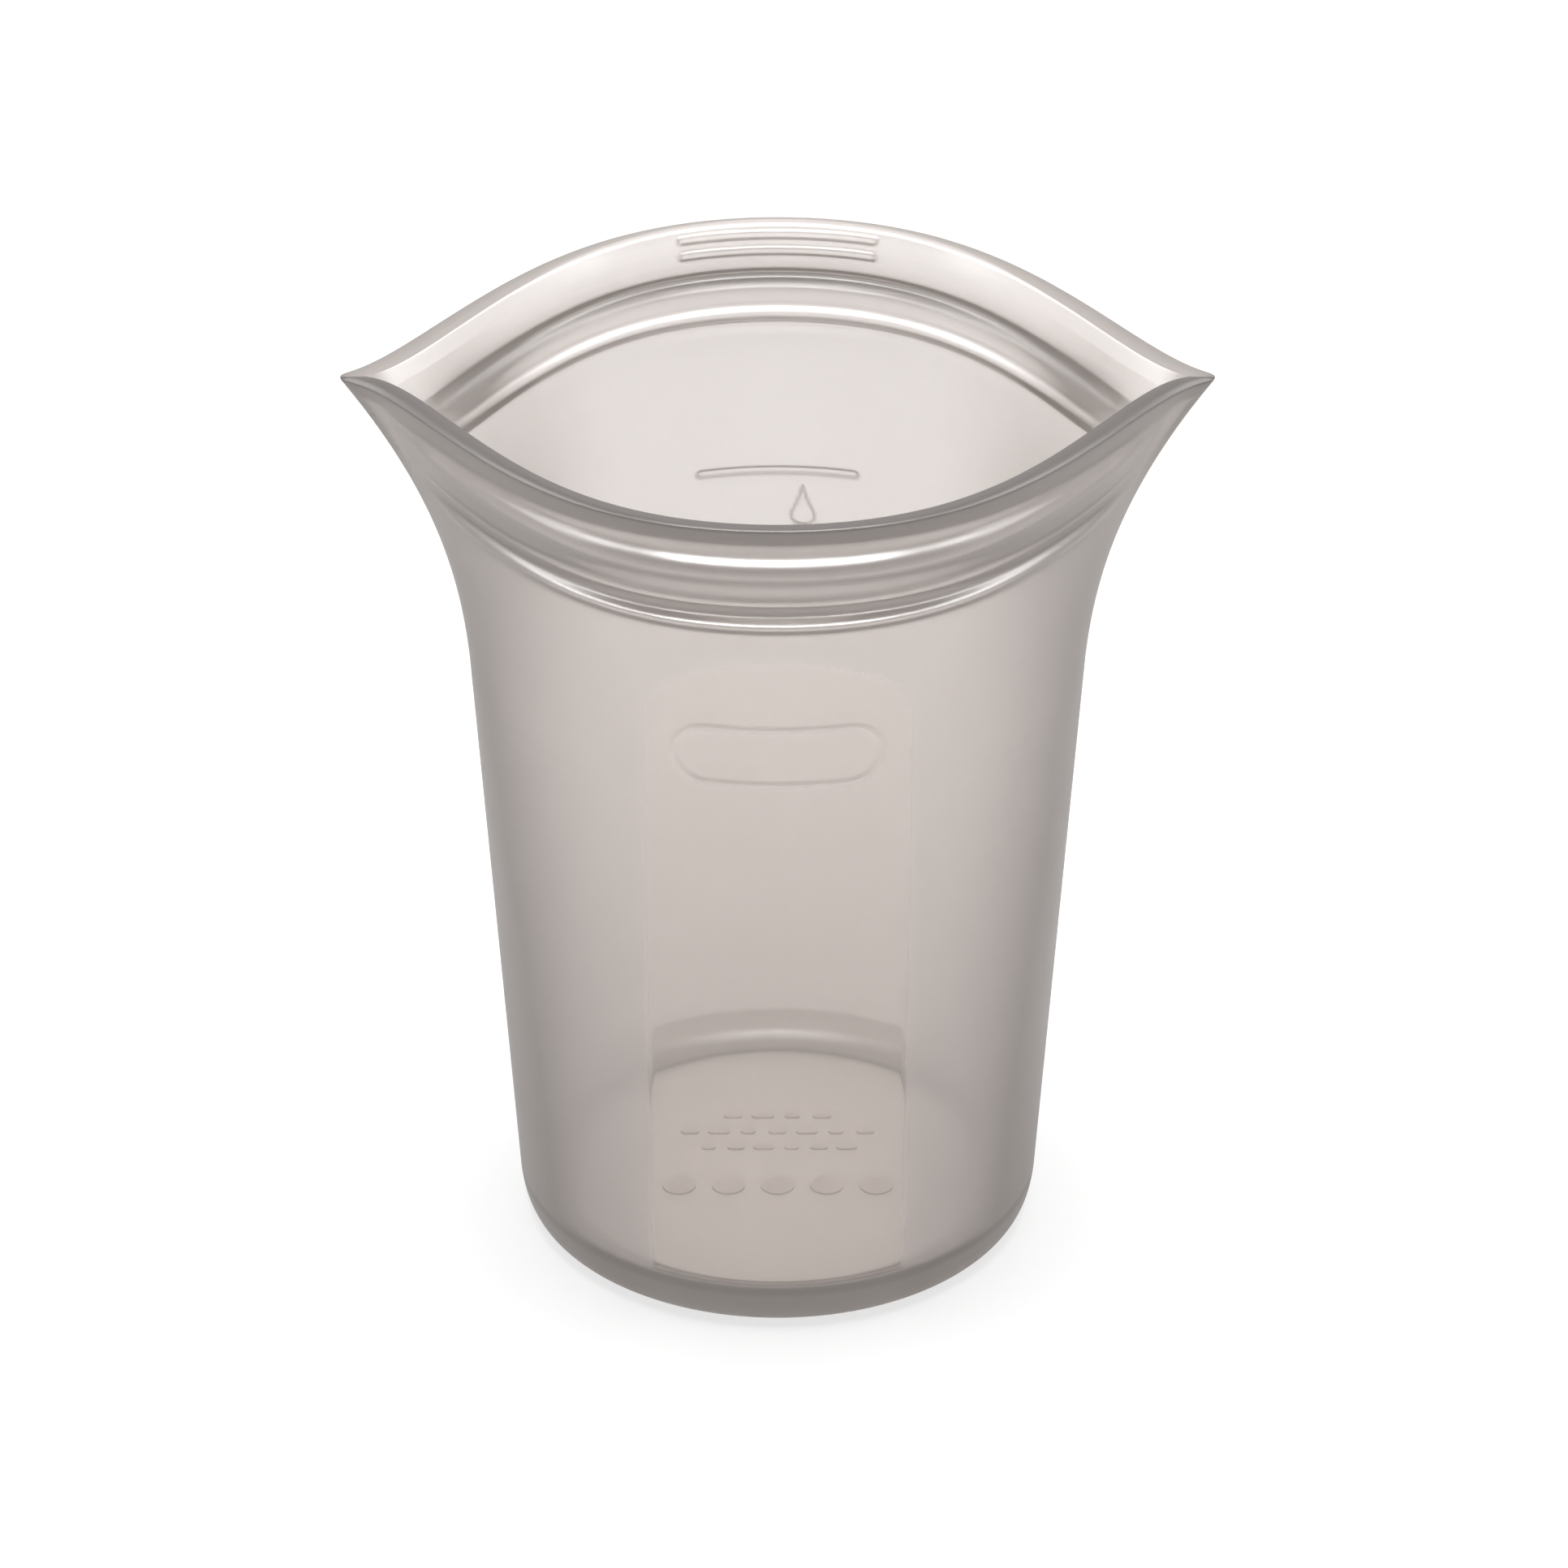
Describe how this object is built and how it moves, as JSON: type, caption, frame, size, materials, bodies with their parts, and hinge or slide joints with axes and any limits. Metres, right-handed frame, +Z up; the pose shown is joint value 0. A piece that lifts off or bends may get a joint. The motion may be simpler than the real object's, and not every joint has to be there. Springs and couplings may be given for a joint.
{
  "type": "silicone storage bag",
  "caption": "Translucent silicone storage bag that stands up like a round cup, with a pinch-seal mouth flaring to two pointed corners.",
  "frame": {"origin": "centre of the underside of the foot, at the surface that it stands on", "axes": "+Z up through the mouth; -Y towards the front lip, which carries the seal rib; X along the two pointed corners"},
  "size_m": [0.1408, 0.1152, 0.1579],
  "materials": {
    "wall_silicone": "frosted satin",
    "lip_silicone": "satin",
    "base_silicone": "frosted satin",
    "raised_marks": "satin"
  },
  "bodies": {
    "cup": {"base_floor": "base_silicone", "foot_ring": "base_silicone", "lower_wall": "wall_silicone", "left_side_wall": "wall_silicone", "right_side_wall": "wall_silicone", "left_corner_ear": "lip_silicone", "right_corner_ear": "lip_silicone"},
    "front_lip": {"front_wall_panel": "wall_silicone", "front_seal_rib": "lip_silicone", "front_lip_flange": "lip_silicone", "front_grip_bar_1": "raised_marks", "front_grip_bar_2": "raised_marks", "blank_badge": "raised_marks"},
    "rear_lip": {"rear_wall_panel": "lip_silicone", "rear_seal_channel": "lip_silicone", "rear_lip_flange": "lip_silicone", "rear_grip_bar_1": "raised_marks", "rear_grip_bar_2": "raised_marks", "fill_line": "raised_marks", "drop_mark": "raised_marks"},
    "front_left_fold": {"front_left_fold_wall": "wall_silicone", "front_left_fold_seal": "lip_silicone", "front_left_fold_flange": "lip_silicone"},
    "front_right_fold": {"front_right_fold_wall": "wall_silicone", "front_right_fold_seal": "lip_silicone", "front_right_fold_flange": "lip_silicone"},
    "rear_left_fold": {"rear_left_fold_wall": "lip_silicone", "rear_left_fold_seal": "lip_silicone", "rear_left_fold_flange": "lip_silicone"},
    "rear_right_fold": {"rear_right_fold_wall": "lip_silicone", "rear_right_fold_seal": "lip_silicone", "rear_right_fold_flange": "lip_silicone"}
  },
  "joints": [
    {"name": "front_lip_pinch", "type": "hinge", "parent": "cup", "child": "front_lip", "pos_m": [0, -0.04042, 0.03], "axis": [-1, 0, 0], "range_deg": [0, 22], "stiffness_Nm_per_rad": 0.8},
    {"name": "rear_lip_pinch", "type": "hinge", "parent": "cup", "child": "rear_lip", "pos_m": [0, 0.04042, 0.03], "axis": [1, 0, 0], "range_deg": [0, 22], "stiffness_Nm_per_rad": 0.8},
    {"name": "front_left_fold_bend", "type": "hinge", "parent": "cup", "child": "front_left_fold", "pos_m": [0, -0.02778, 0.03], "axis": [-1, 0, 0], "range_deg": [0, 17], "stiffness_Nm_per_rad": 0.4},
    {"name": "front_right_fold_bend", "type": "hinge", "parent": "cup", "child": "front_right_fold", "pos_m": [0, -0.02778, 0.03], "axis": [-1, 0, 0], "range_deg": [0, 17], "stiffness_Nm_per_rad": 0.4},
    {"name": "rear_left_fold_bend", "type": "hinge", "parent": "cup", "child": "rear_left_fold", "pos_m": [0, 0.02778, 0.03], "axis": [1, 0, 0], "range_deg": [0, 17], "stiffness_Nm_per_rad": 0.4},
    {"name": "rear_right_fold_bend", "type": "hinge", "parent": "cup", "child": "rear_right_fold", "pos_m": [0, 0.02778, 0.03], "axis": [1, 0, 0], "range_deg": [0, 17], "stiffness_Nm_per_rad": 0.4}
  ],
  "couplings": [
    {"joint": "rear_lip_pinch", "follows": "front_lip_pinch", "ratio": 1},
    {"joint": "front_left_fold_bend", "follows": "front_lip_pinch", "ratio": 0.77},
    {"joint": "front_right_fold_bend", "follows": "front_lip_pinch", "ratio": 0.77},
    {"joint": "rear_left_fold_bend", "follows": "front_lip_pinch", "ratio": 0.77},
    {"joint": "rear_right_fold_bend", "follows": "front_lip_pinch", "ratio": 0.77}
  ]
}
